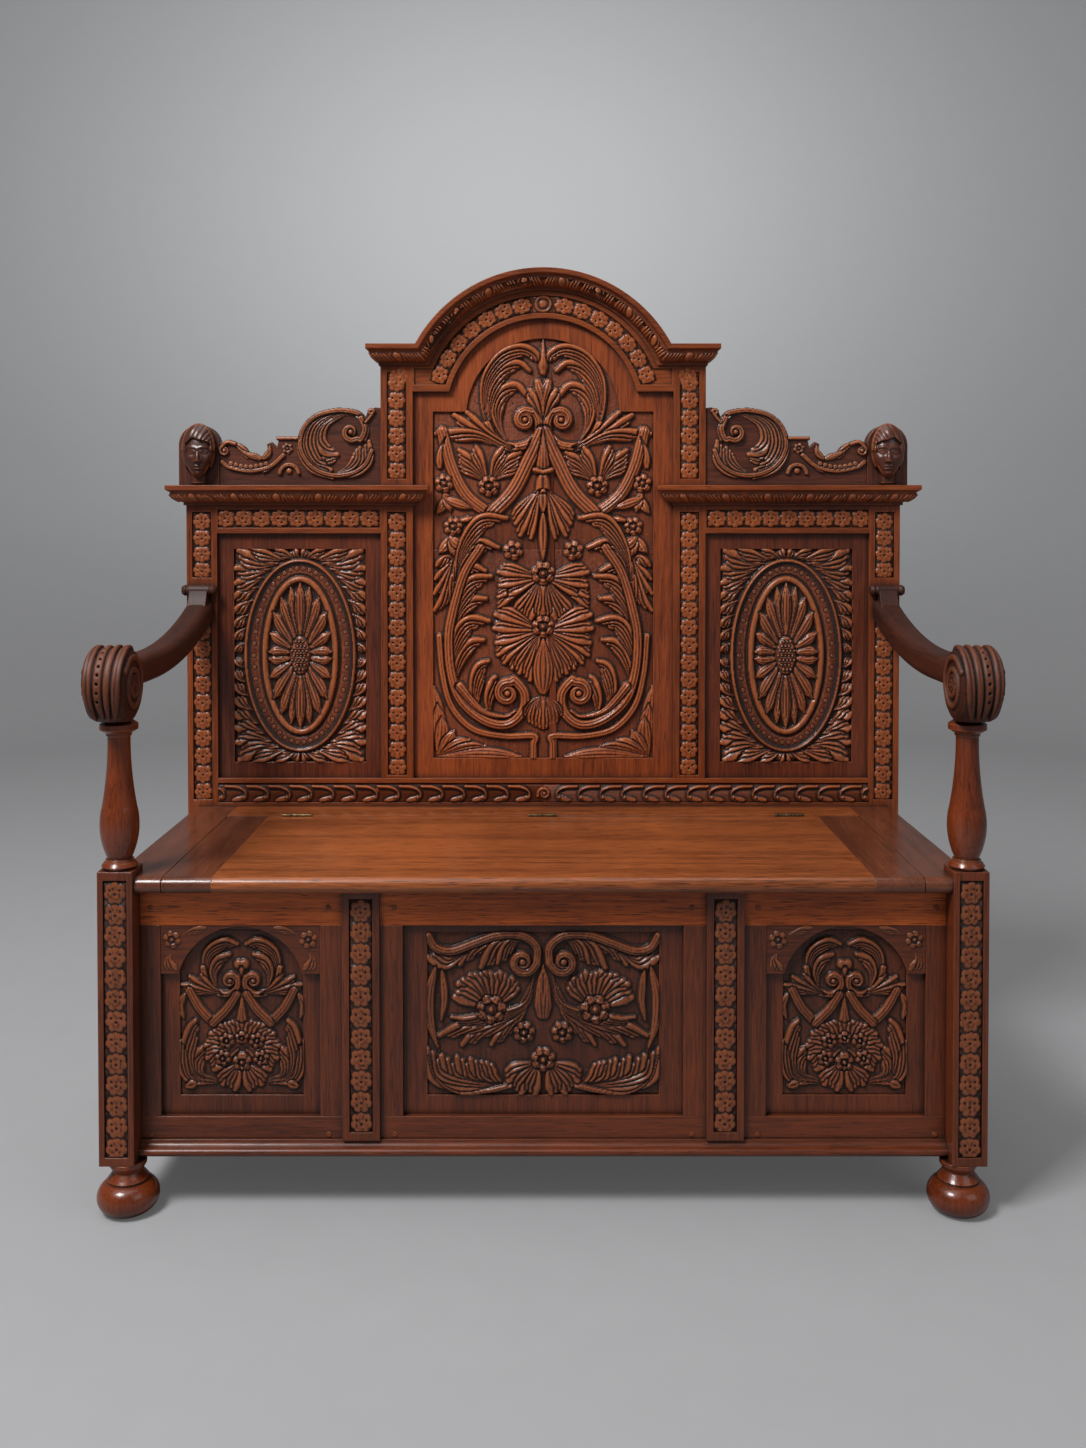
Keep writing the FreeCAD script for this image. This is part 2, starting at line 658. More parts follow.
def build_box_front():
    """Rails, stiles and muntins round three panels, two of them under arched spandrels."""
    face = f"({FRAME_FACE} + panel_recess)"
    y = (FRAME_FACE, FRAME_REAR)
    opening_z = (BOTTOM_RAIL_TOP, TOP_RAIL_UNDER)
    side_x = (MUNTIN_OUTER, CORNER_STILE)
    centre_x = ("-muntin_inner", "muntin_inner")

    sunk_y = (f"{face} - 1", f"{face} + front_field_depth")
    field_foot = f"({BOTTOM_RAIL_TOP} + front_field_foot)"
    side_panel = sunk_panel("front_panel_blank", side_x, opening_z, face, "panel_thickness",
                            play="panel_play")
    side_field = shaped_board("front_field", spandrel_opening(side_x, field_foot), sunk_y)
    both_sides("front_panel", cut_by("front_panel_right", side_panel, [side_field]))
    centre_panel = sunk_panel("front_panel_centre_blank", centre_x, opening_z, face, "panel_thickness",
                              play="panel_play")
    centre_field = board("front_field_centre",
                         ("-muntin_inner + centre_margin", "muntin_inner - centre_margin"),
                         sunk_y, (field_foot, f"{TOP_RAIL_UNDER} - strip_margin"))
    finish("front_panel_centre", cut_by("front_panel_centre", centre_panel, [centre_field]))
    side_groove = sunk_panel("side_groove", side_x, opening_z, face, "panel_thickness")
    grooves = [
        side_groove,
        mirrored("side_groove_left", side_groove),
        sunk_panel("centre_groove", centre_x, opening_z, face, "panel_thickness"),
    ]

    top_z = (TOP_RAIL_UNDER, LID_UNDER)
    bottom_z = ("box_bottom", BOTTOM_RAIL_TOP)
    tenon_y = f"({FRAME_FACE} + post_size - frame_setback - tenon_thickness / 2 - 2)"
    top_tenons = end_tenons("top_rail", POST_INNER, tenon_y, top_z)
    bottom_tenons = end_tenons("bottom_rail", POST_INNER, tenon_y, bottom_z)
    muntin_tenons = []
    for name, low, high in (("up", TOP_RAIL_UNDER, f"{TOP_RAIL_UNDER} + tenon_length"),
                            ("down", f"{BOTTOM_RAIL_TOP} - tenon_length", BOTTOM_RAIL_TOP)):
        middle = f"({FRAME_FACE} + frame_thickness / 2)"
        muntin_tenons.append(board(f"muntin_tenon_{name}",
                                   ("muntin_inner + panel_groove + 10",
                                    f"{MUNTIN_OUTER} - panel_groove - 10"),
                                   (f"{middle} - tenon_thickness / 2", f"{middle} + tenon_thickness / 2"),
                                   (low, high)))
    mortises = muntin_tenons + [mirrored(t.Name + "_left", t) for t in muntin_tenons]

    rail_x = (f"-{POST_INNER}", POST_INNER)
    top = joined("top_rail_whole", [board("top_rail_blank", rail_x, y, top_z), *top_tenons])
    finish("front_top_rail", cut_by("front_top_rail", top, grooves + mortises))
    bottom = joined("bottom_rail_whole",
                    [board("bottom_rail_blank", rail_x, y, bottom_z), *bottom_tenons])
    finish("front_bottom_rail", cut_by("front_bottom_rail", bottom, grooves + mortises))

    corner = board("corner_stile_blank", (CORNER_STILE, POST_INNER), y, opening_z)
    both_sides("front_stile", cut_by("front_stile_right", corner, [side_groove]))
    muntin = joined("muntin_whole", [
        board("muntin_blank", ("muntin_inner", MUNTIN_OUTER), y, opening_z), *muntin_tenons])
    both_sides("front_muntin", cut_by("front_muntin_right", muntin, [side_groove, grooves[2]]))

    build_spandrels(side_x)
    build_pilasters()
    build_plinth()
    return [top_tenons[0], bottom_tenons[0]]


SPANDREL_FOOT = f"({TOP_RAIL_UNDER} - spandrel_height)"


def spandrel_arch(side_x):
    """The arch of a side panel of the box, as outline points from its left foot to its right."""
    left, right = side_x
    return [
        (f"{left} + spandrel_shoulder", SPANDREL_FOOT),
        ("arc", f"(({left} + {right}) / 2)", f"{SPANDREL_FOOT} + spandrel_rise"),
        (f"{right} - spandrel_shoulder", SPANDREL_FOOT),
    ]


def spandrel_opening(side_x, foot):
    """The field under the arch of a side panel, down to foot."""
    left, right = side_x
    return [(f"{left} + spandrel_shoulder", foot), *spandrel_arch(side_x),
            (f"{right} - spandrel_shoulder", foot)]


def build_spandrels(side_x):
    """The board with an arched cut-out that heads each side panel of the box."""
    left, right = side_x
    spandrel = shaped_board("spandrel_right", [
        (left, TOP_RAIL_UNDER),
        (left, SPANDREL_FOOT),
        *spandrel_arch(side_x),
        (right, SPANDREL_FOOT),
        (right, TOP_RAIL_UNDER),
    ], (f"{FRAME_FACE} + panel_recess - spandrel_thickness", f"{FRAME_FACE} + panel_recess"))
    both_sides("spandrel", spandrel)


def build_pilasters():
    """The strips planted on the two muntins, each with a sunk field for its running leaf."""
    middle = "(muntin_inner + muntin_width / 2)"
    face = f"({FRAME_FACE} - pilaster_thickness)"
    z = ("box_bottom + plinth_height", LID_UNDER)
    blank = board("pilaster_blank", (f"{middle} - pilaster_width / 2", f"{middle} + pilaster_width / 2"),
                  (face, FRAME_FACE), z)
    sunk = board("pilaster_sunk", (f"{middle} - strip_width / 2", f"{middle} + strip_width / 2"),
                 (f"{face} - 1", f"{face} + strip_depth"),
                 (f"{z[0]} + strip_margin", f"{z[1]} - strip_margin"))
    both_sides("front_pilaster", cut_by("front_pilaster_right", blank, [sunk]))


def build_plinth():
    """The moulding along the foot of the box: a hollow over a bold half round."""
    top = "(box_bottom + plinth_height)"
    nose = f"({FRAME_FACE} - plinth_depth)"
    finish("plinth_moulding", run_of("plinth_moulding", [
        (FRAME_FACE, "box_bottom"),
        (f"{nose} + 5", "box_bottom"),
        ("arc", nose, "box_bottom + plinth_height * 0.28"),
        (f"{nose} + 5", "box_bottom + plinth_height * 0.56"),
        ("arc", f"{nose} + plinth_depth * 0.62", "box_bottom + plinth_height * 0.66"),
        (f"{FRAME_FACE} - 4", "box_bottom + plinth_height * 0.88"),
        (f"{FRAME_FACE} - 4", top),
        (FRAME_FACE, top),
    ], (f"-{POST_INNER}", POST_INNER)))


def build_box_sides():
    """A rail at the top and foot of each side, between post and stile, with a plain panel."""
    x = (f"{HALF} - side_setback - frame_thickness + 2", f"{HALF} - side_setback")
    y = (f"{FRONT} + post_size", BACK_FACE)
    middle = f"({HALF} - side_setback - frame_thickness / 2 + 1)"
    tenon_x = (f"{middle} - tenon_thickness / 2", f"{middle} + tenon_thickness / 2")
    opening_z = ("box_bottom + side_rail_height", f"{LID_UNDER} - side_rail_height")
    panel_x = (f"{middle} - side_panel_thickness / 2", f"{middle} + side_panel_thickness / 2")

    def panel(name, play):
        edge = f"(panel_groove - {play})"
        return board(name, panel_x, (f"{y[0]} - {edge}", f"{y[1]} + {edge}"),
                     (f"{opening_z[0]} - {edge}", f"{opening_z[1]} + {edge}"))

    both_sides("side_panel", panel("side_panel_right", "panel_play"))
    groove = panel("side_panel_groove", "0")
    mortises = [groove]
    for name, low, high in (("side_top_rail", opening_z[1], LID_UNDER),
                            ("side_bottom_rail", "box_bottom", opening_z[0])):
        lip = "(side_rail_height / 5)"
        tenon_z = (f"{low} + {lip}", f"{high} - {lip}")
        ends = [
            board(name + "_tenon_front", tenon_x, (f"{y[0]} - tenon_length", y[0]), tenon_z),
            board(name + "_tenon_rear", tenon_x, (y[1], f"{y[1]} + tenon_length"), tenon_z),
        ]
        mortises += ends
        whole = joined(name + "_whole", [board(name + "_blank", x, y, (low, high)), *ends])
        both_sides(name, cut_by(name + "_right", whole, [groove]))
    return mortises


def build_box_inside():
    """The boarded back of the box, the floor boards and the ledges that carry them."""
    back_y = f"({BACK_REAR} - panel_thickness)"
    rail_z = ("box_bottom", BOTTOM_RAIL_TOP)
    rail = board("box_rear_rail", (f"-{STILE_INNER}", STILE_INNER), (BACK_FACE, back_y), rail_z)
    finish("box_rear_rail", rail)
    finish("box_back_board", board("box_back_board", (f"-{STILE_INNER}", STILE_INNER),
                                   (back_y, BACK_REAR),
                                   ("box_bottom", "seat_height - seat_rail_drop")))
    floor_z = "(box_bottom + ledge_size)"
    ledges = []
    for name, low, high in (("front", FRAME_REAR, f"{FRAME_REAR} + ledge_size"),
                            ("rear", f"{BACK_FACE} - ledge_size", BACK_FACE)):
        ledges.append(board(f"ledge_{name}", (f"-{STILE_INNER}", STILE_INNER), (low, high),
                            ("box_bottom", floor_z)))
    finish("floor_ledges", grouped("floor_ledges", ledges), len(ledges))
    boards = []
    span = f"({BACK_FACE} - {FRAME_REAR})"
    for i in range(3):
        boards.append(board(f"floor_board_{i}", (f"-{POST_INNER}", POST_INNER),
                            (f"{FRAME_REAR} + {span} * {i} / 3 + lid_gap / 2",
                             f"{FRAME_REAR} + {span} * {i + 1} / 3 - lid_gap / 2"),
                            (floor_z, f"{floor_z} + floor_thickness")))
    finish("floor_boards", grouped("floor_boards", boards), len(boards))


def strip_in(name, x, z, face=BACK_FACE):
    """A sunk field for carving in the front face of a member, as a block to cut out."""
    return board(name, x, (f"{face} - 1", f"{face} + strip_depth"), z)


def build_back_frame(mortises):
    """Outer stiles that run to the floor, the rails and centre stiles, and the side panels."""
    y = (BACK_FACE, BACK_REAR)
    bay_z = (SEAT_RAIL_TOP, BAY_TOP)
    bay_x = ("centre_stile_outer", STILE_INNER)
    panel_face = f"({BACK_FACE} + panel_recess)"
    groove = sunk_panel("oval_groove", bay_x, bay_z, panel_face, "panel_thickness")
    centre = centre_panel_blank("centre_groove_blank", "0")

    stile_middle = f"({HALF} - stile_width / 2)"
    stile_strip_x = (f"{stile_middle} - strip_width / 2", f"{stile_middle} + strip_width / 2")
    seat_rail_z = ("seat_height - seat_rail_drop", SEAT_RAIL_TOP)
    middle_y = f"({BACK_FACE} + back_thickness / 2)"
    rail_tenons = end_tenons("seat_rail", STILE_INNER, middle_y, seat_rail_z)
    head_z = (BAY_TOP, SIDE_CORNICE)
    head_tenons = end_tenons("head_rail", STILE_INNER, middle_y, head_z)
    stile = board("stile_blank", (STILE_INNER, HALF), (BACK_FACE, STILE_REAR), ("0", SIDE_CORNICE))
    strips = [
        strip_in("stile_strip_low", stile_strip_x,
                 ("seat_height + strip_margin", f"{ROLL_Z} - roll_radius - strip_margin")),
        strip_in("stile_strip_high", stile_strip_x,
                 (f"{ROLL_Z} + roll_radius + strip_margin", f"{SIDE_CORNICE} - strip_margin")),
    ]
    both_sides("back_stile", cut_by("back_stile_right", stile,
                                    [*strips, groove, rail_tenons[0], head_tenons[0], *mortises]))

    rail_x = (f"-{STILE_INNER}", STILE_INNER)
    swell = "strip_depth"
    seat_rail = joined("seat_rail_whole", [run_of("seat_rail_blank", [
        (BACK_REAR, f"{SEAT_RAIL_TOP}"),
        (BACK_FACE, f"{SEAT_RAIL_TOP}"),
        (BACK_FACE, f"{SEAT_RAIL_TOP} - 8"),
        (f"{BACK_FACE} + {swell}", f"{SEAT_RAIL_TOP} - 11"),
        ("arc", f"{BACK_FACE} + {swell} / 3", "seat_height + seat_rail_rise / 2"),
        (f"{BACK_FACE} + {swell}", "seat_height + 9"),
        (BACK_FACE, "seat_height + 7"),
        (BACK_FACE, seat_rail_z[0]),
        (BACK_REAR, seat_rail_z[0]),
    ], rail_x), *rail_tenons])
    finish("seat_rail", cut_by("seat_rail", seat_rail,
                               [groove, mirrored("oval_groove_left", groove), centre]))

    head_x = ("centre_stile_outer", STILE_INNER)
    head = joined("head_rail_whole", [board("head_rail_blank", head_x, y, head_z), head_tenons[0]])
    strip_z = (f"{BAY_TOP} + 10", f"{SIDE_CORNICE} - 8")
    head_strip = strip_in("head_rail_strip", (f"{head_x[0]} + 2", f"{head_x[1]} - 2"), strip_z)
    both_sides("head_rail", cut_by("head_rail_right", head, [groove, head_strip]))

    stile_x = (CENTRE_INNER, "centre_stile_outer")
    middle = "(centre_stile_outer - centre_stile_width / 2)"
    strip_x = (f"{middle} - strip_width / 2", f"{middle} + strip_width / 2")
    centre_stile = board("centre_stile_blank", stile_x, y, (SEAT_RAIL_TOP, TOP_CORNICE))
    centre_strips = [
        strip_in("centre_strip_low", strip_x,
                 (f"{SEAT_RAIL_TOP} + strip_margin / 2", f"{SIDE_CORNICE} - strip_margin")),
        strip_in("centre_strip_high", strip_x,
                 (f"{CREST_BASE} + strip_margin", f"{TOP_CORNICE} - strip_margin")),
    ]
    both_sides("centre_stile", cut_by("centre_stile_right", centre_stile,
                                      [*centre_strips, groove, centre]))
    build_oval_panels(bay_x, bay_z, panel_face)
    build_arch(centre, y)


def build_oval_panels(bay_x, bay_z, face):
    """Side panels of the back: a sunk field with a raised oval band and a boss."""
    blank = sunk_panel("oval_panel_blank", bay_x, bay_z, face, "panel_thickness",
                       play="panel_play")
    field = board("oval_field", (f"{bay_x[0]} + oval_margin", f"{bay_x[1]} - oval_margin"),
                  (f"{face} - 1", f"{face} + field_depth"),
                  (f"{bay_z[0]} + oval_margin", f"{bay_z[1]} - oval_margin"))
    centre_x = f"(({bay_x[0]} + {bay_x[1]}) / 2)"
    centre_z = f"(({bay_z[0]} + {bay_z[1]}) / 2)"

    floor = f"({face} + field_depth)"
    crown = f"({floor} - carving_height)"
    band = oval_band("oval_band", (centre_x, centre_z), ("oval_half_width", "oval_half_height"),
                     "oval_band", (crown, floor))
    boss = doc.addObject("Part::Ellipsoid", "oval_boss")
    boss.Placement = FreeCAD.Placement(Vector(), FreeCAD.Rotation())
    bind(boss, "Radius2", "oval_half_width / 5")
    bind(boss, "Radius3", "field_depth * 1.4")
    bind(boss, "Radius1", "oval_half_height / 6")
    move_to(boss, centre_x, floor, centre_z)
    carved = joined("oval_panel_right", [cut_by("oval_panel_sunk", blank, [field]), band, boss])
    both_sides("oval_panel", carved)


UPRIGHT = FreeCAD.Rotation(Vector(0, 0, 1), Vector(-1, 0, 0), Vector(0, 1, 0), "ZXY")


def oval(name, centre, half_width, half_height, y):
    """An upright oval block between two planes of Y, taller than it is wide."""
    ring = doc.addObject("Part::Ellipse", name + "_line")
    bind(ring, "MajorRadius", half_height)
    bind(ring, "MinorRadius", half_width)
    ring.Placement = FreeCAD.Placement(Vector(), UPRIGHT)
    move_to(ring, centre[0], y[0], centre[1])
    solid = doc.addObject("Part::Extrusion", name)
    solid.Base = ring
    solid.DirMode = "Custom"
    solid.Dir = (0, 1, 0)
    solid.Solid = True
    bind(solid, "LengthFwd", f"({y[1]}) - ({y[0]})")
    return solid


def oval_band(name, centre, half, band, y):
    """A raised band that runs round an oval."""
    outer = oval(name + "_outer", centre, *half, y)
    inner = oval(name + "_inner", centre, f"{half[0]} - {band}", f"{half[1]} - {band}",
                 (f"{y[0]} - 1", f"{y[1]} + 1"))
    return cut_by(name, outer, [inner])


def arch_outline(grow):
    """The outline of the middle bay, grown on every side: straight sides, shoulders, an arch."""
    side = f"({CENTRE_INNER} + {grow})"
    shoulder = f"(arch_shoulder + {grow})"
    radius = f"(arch_radius + {grow})"
    spring = f"sqrt({radius}^2 - {shoulder}^2)"
    return [
        (f"-{side}", f"{SEAT_RAIL_TOP} - {grow}"),
        (side, f"{SEAT_RAIL_TOP} - {grow}"),
        (side, f"{ARCH_CENTRE} + {shoulder}"),
        (spring, f"{ARCH_CENTRE} + {shoulder}"),
        ("arc", "0", f"{ARCH_CENTRE} + {radius}"),
        (f"-{spring}", f"{ARCH_CENTRE} + {shoulder}"),
        (f"-{side}", f"{ARCH_CENTRE} + {shoulder}"),
    ]


def centre_panel_blank(name, play):
    face = f"({BACK_FACE} + panel_recess)"
    return shaped_board(name, arch_outline(f"(panel_groove - {play})"),
                        (face, f"{face} + panel_thickness"))


def build_arch(centre_groove, y):
    """The arched middle panel with its sunk field, and the arched head over it."""
    face = f"({BACK_FACE} + panel_recess)"
    field = shaped_board("centre_field", arch_outline("-centre_margin"),
                         (f"{face} - 1", f"{face} + field_depth"))
    sunk = cut_by("centre_sunk", centre_panel_blank("centre_blank", "panel_play"), [field])
    finish("centre_panel", joined("centre_panel", [sunk, *centre_forms(f"({face} + field_depth)")]))

    crown, spring = crown_radius("0")
    head = shaped_board("arch_head_blank", [
        (f"-{CENTRE_INNER}", f"{ARCH_CENTRE} + arch_shoulder"),
        (CENTRE_INNER, f"{ARCH_CENTRE} + arch_shoulder"),
        (CENTRE_INNER, TOP_CORNICE),
        (spring, TOP_CORNICE),
        ("arc", "0", f"{ARCH_CENTRE} + {crown}"),
        (f"-{spring}", TOP_CORNICE),
        (f"-{CENTRE_INNER}", TOP_CORNICE),
    ], y)
    opening = shaped_board("arch_opening", arch_outline("0"), (f"{y[0]} - 1", f"{y[1]} + 1"))
    inner = "(arch_radius + 9)"
    outer = f"({crown} - 9)"
    band_edge = "(arch_shoulder + 12)"
    band = shaped_board("arch_band", [
        (f"sqrt({inner}^2 - {band_edge}^2)", f"{ARCH_CENTRE} + {band_edge}"),
        ("arc", "0", f"{ARCH_CENTRE} + {inner}"),
        (f"-sqrt({inner}^2 - {band_edge}^2)", f"{ARCH_CENTRE} + {band_edge}"),
        (f"-{CENTRE_INNER} + 3", f"{ARCH_CENTRE} + {band_edge}"),
        (f"-{CENTRE_INNER} + 3", f"{TOP_CORNICE} - 5"),
        (f"-sqrt({outer}^2 - ({TOP_CORNICE} - 5 - {ARCH_CENTRE})^2)", f"{TOP_CORNICE} - 5"),
        ("arc", "0", f"{ARCH_CENTRE} + {outer}"),
        (f"sqrt({outer}^2 - ({TOP_CORNICE} - 5 - {ARCH_CENTRE})^2)", f"{TOP_CORNICE} - 5"),
        (f"{CENTRE_INNER} - 3", f"{TOP_CORNICE} - 5"),
        (f"{CENTRE_INNER} - 3", f"{ARCH_CENTRE} + {band_edge}"),
    ], (f"{BACK_FACE} - 1", f"{BACK_FACE} + strip_depth"))
    finish("arch_head", cut_by("arch_head", head, [opening, centre_groove, band]))
    build_arch_cornice()


# The main forms carved on the middle panel: places across from its middle and up from the
# underside of its bay, in millimetres. The visual model carries their leaves and petals.
FLOWERS = {
    # name: across, up, radius
    "swag_flower": (97, 522, 20),
    "edge_flower_high": (177, 527, 17),
    "edge_flower_low": (161, 450, 19),
    "spray_flower": (54, 407, 18),
    "lower_volute": (64, 151, 24),
}
MIDDLE_FLOWERS = {"upper_rosette": (0, 366, 24), "lower_rosette": (0, 271, 26)}
RIBBONS = {
    # name: corners of a flat band, in order round it
    "outer_swag": [(182, 610), (168, 612), (88, 482), (98, 472)],
    "inner_swag": [(4, 618), (16, 606), (98, 480), (88, 472)],
    "edge_stem": [(118, 418), (130, 424), (168, 345), (178, 248), (166, 160), (150, 126),
                  (140, 134), (155, 165), (165, 248), (156, 340)],
    "foot_strap": [(150, 130), (120, 92), (66, 80), (24, 80), (24, 30), (11, 30), (11, 92),
                   (62, 92), (112, 104), (141, 137)],
    "upper_plume": [(150, 400), (126, 442), (74, 464), (74, 444), (110, 424), (140, 380)],
    "middle_plume": [(158, 280), (132, 352), (98, 360), (98, 344), (124, 330), (150, 270)],
    "lower_plume": [(160, 190), (130, 278), (100, 282), (100, 262), (122, 250), (150, 180)],
}
DROP = [(0, 622), (11, 590), (8, 550), (13, 520), (0, 380), (-13, 520), (-8, 550), (-11, 590)]
SCROLL_CENTRE = (57, 677)
SCROLL_HALF = ("53", "88")
SCROLL_BAND = "17"


def centre_forms(floor):
    """The raised forms of the middle panel, each standing on the sunk floor at y = floor."""
    y = (f"({floor} - carving_height)", floor)

    def place(across, up):
        return f"{across}", f"({SEAT_RAIL_TOP} + {up})"

    def disc(name, across, up, radius):
        x, z = place(across, up)
        return cylinder(name, (x, y[0], z), f"{radius}", "carving_height", ALONG_Y)

    pieces = [disc(name, *form) for name, form in MIDDLE_FLOWERS.items()]
    pieces.append(shaped_board("middle_drop", [place(*corner) for corner in DROP], y))
    pair = [disc(name, *form) for name, form in FLOWERS.items()]
    pair += [shaped_board(name, [place(*corner) for corner in corners], y)
             for name, corners in RIBBONS.items()]
    pair.append(oval_band("great_scroll", place(*SCROLL_CENTRE), SCROLL_HALF, SCROLL_BAND, y))
    return pieces + pair + [mirrored(piece.Name + "_left", piece) for piece in pair]


def crown_radius(grow):
    """The arch of the cornice at a height above its underside, and where it meets the level."""
    radius = f"(arch_radius + 49 + {grow})"
    level = f"({TOP_CORNICE} + {grow} - {ARCH_CENTRE})"
    return radius, f"sqrt({radius}^2 - {level}^2)"


CORNICE_SECTION = [
    # (reach, rise) from the lower inner edge: fillet, quarter round, quirk and top band,
    # as shares of the cornice's reach and height
    ("0.13", "0"),
    ("0.13", "0.15"),
    ("0.22", "0.17"),
    ("arc", "0.64", "0.36"),
    ("0.78", "0.66"),
    ("0.88", "0.7"),
    ("0.95", "0.75"),
    ("1", "0.76"),
    ("1", "1"),
]


def section(start_reach, sign, base, inner, full_reach="cornice_reach"):
    """The cornice's profile as outline points, from its foot up to its top edge."""
    points = []
    for point in CORNICE_SECTION:
        reach, rise = point[-2:]
        place = (f"{start_reach} {sign} {full_reach} * {reach}", f"{base} + cornice_height * {rise}")
        points.append(("arc", *place) if point[0] == "arc" else place)
    return points + inner


def build_side_cornices():
    """A moulded cornice over each side bay, mitred and returned at both ends."""
    base, top = SIDE_CORNICE, CREST_BASE
    run = run_of("side_cornice_run", section(BACK_FACE, "-", base, [(STILE_REAR, top), (STILE_REAR, base)]),
                 (f"{CENTRE_INNER} - cornice_reach - 1", f"{HALF} + cornice_reach + 1"))
    ends = shaped_board("side_cornice_ends",
                        section(HALF, "+", base, []) + section(CENTRE_INNER, "-", base, [])[::-1],
                        (f"{BACK_FACE} - cornice_reach - 1", STILE_REAR))
    stile = board("cornice_notch", (f"{CENTRE_INNER} - cornice_reach - 1", "centre_stile_outer"),
                  (BACK_FACE, f"{STILE_REAR} + 1"), (f"{base} - 1", f"{top} + 1"))
    both_sides("side_cornice", cut_by("side_cornice_right", common("side_cornice_solid", run, ends),
                                      [stile]))


def build_arch_cornice():
    """The cornice that runs level over the centre stiles and springs over the arch. The arch
    is the level moulding's own section, turned, and the two meet at a mitre. The returns at
    its ends reach out less than its front."""
    base = TOP_CORNICE
    top = f"({TOP_CORNICE} + cornice_height)"
    end = "(centre_stile_outer + cornice_reach)"
    run = run_of("top_cornice_run", section(BACK_FACE, "-", base, [(BACK_REAR, top), (BACK_REAR, base)]),
                 (f"-{end} - 1", f"{end} + 1"))
    right = section("centre_stile_outer", "+", base, [], "top_cornice_return")
    left = section("-centre_stile_outer", "-", base, [], "top_cornice_return")
    ends = shaped_board("top_cornice_ends", right + left[::-1],
                        (f"{BACK_FACE} - cornice_reach - 1", BACK_REAR))
    level = common("top_cornice_level", run, ends)

    low_radius, low_spring = crown_radius("0")
    high_radius, high_spring = crown_radius("cornice_height")
    ring_body = doc.addObject("PartDesign::Body", "crown_ring")
    ring_points = section("0", "-", low_radius,
                          [("back_thickness", high_radius), ("back_thickness", low_radius)])
    ring_sketch = sketch_in(ring_body, "crown_section", "YZ_Plane", ring_points)
    ring = ring_body.newObject("PartDesign::Revolution", "crown_turn")
    ring.Profile = ring_sketch
    ring.ReferenceAxis = (ring_sketch, ["H_Axis"])
    ring.Angle = 360
    move_to(ring_body, "0", BACK_FACE, ARCH_CENTRE)

    slope = f"(({high_spring} - {low_spring}) / cornice_height)"
    reach_up = f"({low_spring} + {slope} * arch_radius)"
    wedge = shaped_board("crown_wedge", [
        (f"-{low_spring}", base),
        (low_spring, base),
        (reach_up, f"{base} + arch_radius"),
        (f"-{reach_up}", f"{base} + arch_radius"),
    ], (f"{BACK_FACE} - cornice_reach - 1", f"{BACK_REAR} + 1"))
    arch = common("crown_arch", ring_body, wedge)
    straight = cut_by("crown_straight", level, [wedge])
    finish("arch_cornice", joined("arch_cornice", [arch, straight]))


def build_crests():
    """The pierced-looking cresting on each side cornice: a great scroll by the centre stile,
    a small block, and a low scroll that runs out to the finial."""
    inner = "centre_stile_outer"
    outer = f"({HALF} + cornice_reach * 0.45 - finial_width)"
    run = f"({outer} - {inner})"
    scroll_x = f"({inner} + crest_scroll_radius * 1.33)"
    scroll_z = f"({CREST_BASE} + crest_scroll_rise)"
    radius = "crest_scroll_radius"
    y_rear = f"({BACK_FACE} + crest_thickness + 4)"
    y_face = f"({BACK_FACE} + 4)"
    silhouette = shaped_board("crest_board", [
        (inner, CREST_BASE),
        (outer, CREST_BASE),
        (outer, f"{CREST_BASE} + {radius} * 1.18"),
        ("arc", f"{outer} - {run} * 0.08", f"{CREST_BASE} + {radius} * 1.26"),
        (f"{outer} - {run} * 0.17", f"{CREST_BASE} + {radius} * 0.98"),
        ("arc", f"{outer} - {run} * 0.225", f"{CREST_BASE} + {radius} * 0.84"),
        (f"{outer} - {run} * 0.28", f"{CREST_BASE} + {radius} * 0.98"),
        ("arc", f"{outer} - {run} * 0.312", f"{CREST_BASE} + {radius} * 1.15"),
        (f"{outer} - {run} * 0.34", f"{CREST_BASE} + {radius} * 1.08"),
        (f"{outer} - {run} * 0.36", f"{CREST_BASE} + {radius} * 1.33"),
        (f"{scroll_x} + {radius} * 0.985", f"{CREST_BASE} + {radius} * 1.33"),
        ("arc", scroll_x, f"{scroll_z} + {radius}"),
        (f"{scroll_x} - {radius} * 0.766", f"{scroll_z} + {radius} * 0.643"),
        (f"{inner} + {radius} * 0.38", f"{CREST_BASE} + crest_stile_height - 6"),
        ("arc", f"{inner} + {radius} * 0.22", f"{CREST_BASE} + crest_stile_height + 1"),
        (inner, f"{CREST_BASE} + crest_stile_height"),
    ], (y_face, y_rear))

    scroll = cylinder("crest_scroll_disc", (scroll_x, f"{y_face} - crest_relief", scroll_z),
                      f"{radius} - crest_rim", "crest_relief + 1", ALONG_Y)
    hollow = cylinder("crest_scroll_hollow",
                      (f"{scroll_x} + {radius} * 0.08", f"{y_face} - crest_relief - 1",
                       f"{scroll_z} + {radius} * 0.04"),
                      f"{radius} * 0.6", "crest_relief + 1", ALONG_Y)
    volute = cylinder("crest_volute",
                      (f"{scroll_x} - {radius} * 0.36", f"{y_face} - crest_relief",
                       f"{scroll_z} + {radius} * 0.2"),
                      f"{radius} * 0.3", "crest_relief + 1", ALONG_Y)
    small = cylinder("crest_small_volute",
                     (f"{outer} - {radius} * 0.32", f"{y_face} - crest_relief",
                      f"{CREST_BASE} + {radius} * 0.85"),
                     f"{radius} * 0.24", "crest_relief + 1", ALONG_Y)
    relief = cut_by("crest_great_scroll", scroll, [hollow])
    both_sides("crest", joined("crest_right", [silhouette, relief, volute, small]))
    build_finials(outer)


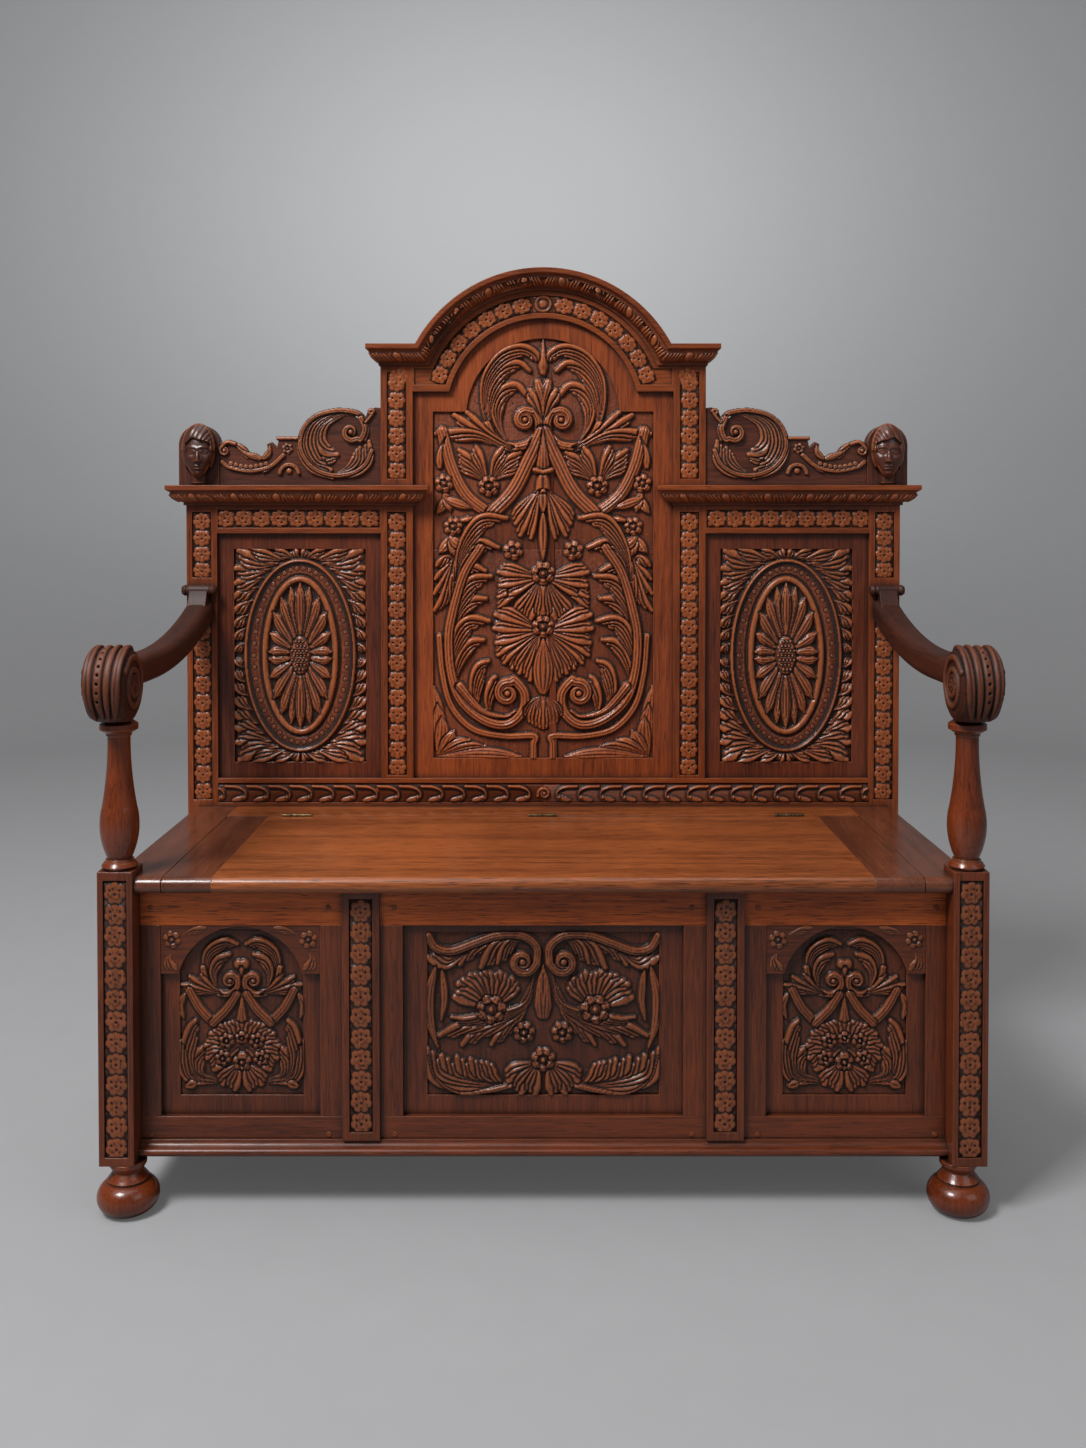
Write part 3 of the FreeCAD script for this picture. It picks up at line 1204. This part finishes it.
def build_finials(inner):
    """A rounded tablet at the outer end of each cornice with a head carved on its face."""
    outer = f"({inner} + finial_width)"
    middle = f"({inner} + finial_width / 2)"
    top = f"({CREST_BASE} + finial_height)"
    face = f"({BACK_FACE} + 2)"
    tablet = shaped_board("finial_tablet", [
        (inner, CREST_BASE),
        (outer, CREST_BASE),
        (outer, f"{top} - finial_width * 0.3"),
        ("arc", middle, f"{top} + 4"),
        (inner, f"{top} - finial_width * 0.3"),
    ], (face, f"{face} + finial_thickness"))
    chin = f"({top} + 6 - head_height)"
    head = head_loft("head_block", middle, face, chin, [
        # rise, half width and half depth, and how far the section's middle stands forward
        (0, 0.1, 0.1, 0.28),
        (0.1, 0.24, 0.24, 0.25),
        (0.28, 0.38, 0.35, 0.17),
        (0.5, 0.46, 0.42, 0.08),
        (0.72, 0.48, 0.45, 0.02),
        (0.9, 0.36, 0.34, 0),
        (1, 0.13, 0.12, 0),
    ])
    both_sides("head_finial", joined("head_finial_right", [tablet, head]))


def head_loft(name, x, y, z, stations):
    """A head without features: level ellipses from the chin to the crown, joined smoothly."""
    ovals = []
    for i, (rise, half_width, half_depth, forward) in enumerate(stations):
        oval = doc.addObject("Part::Ellipse", f"{name}_{i}")
        bind(oval, "MajorRadius", f"head_width * {half_width}")
        bind(oval, "MinorRadius", f"head_depth * {half_depth}")
        move_to(oval, x, f"{y} - head_depth * {forward}", f"{z} + head_height * {rise}")
        ovals.append(oval)
    loft = doc.addObject("Part::Loft", name)
    loft.Sections = ovals
    loft.Solid = True
    return loft


def check_and_export():
    """Stops on any failed object or bad solid, then writes one STEP file for each sub-part."""
    doc.recompute()
    failed = [o.Name for o in doc.Objects if {"Invalid", "Error"} & set(o.State)]
    if failed:
        raise RuntimeError(f"objects that failed to recompute: {failed}")
    os.makedirs("parts", exist_ok=True)
    for name, (part, solids) in sorted(finished.items()):
        shape = part.Shape
        if shape.isNull() or not shape.isValid() or len(shape.Solids) != solids:
            raise RuntimeError(f"{name}: {len(shape.Solids)} valid solids where {solids} are due")
        shape.exportStep(os.path.join("parts", name + ".step"))
        box = shape.BoundBox
        print(f"{name:24s} solids {len(shape.Solids)}  volume {shape.Volume / 1000:9.1f} cm3  "
              f"x {box.XMin:7.1f} {box.XMax:7.1f}  y {box.YMin:7.1f} {box.YMax:7.1f}  "
              f"z {box.ZMin:7.1f} {box.ZMax:7.1f}")
    print(len(finished), "nodes")


front_mortises = build_box_front()
side_mortises = build_box_sides()
build_front_posts(front_mortises + side_mortises)
build_feet()
arm_tenon = build_arms(build_balusters())
build_seat(build_hinges())
build_box_inside()
build_back_frame(side_mortises + [arm_tenon])
build_side_cornices()
build_crests()
check_and_export()
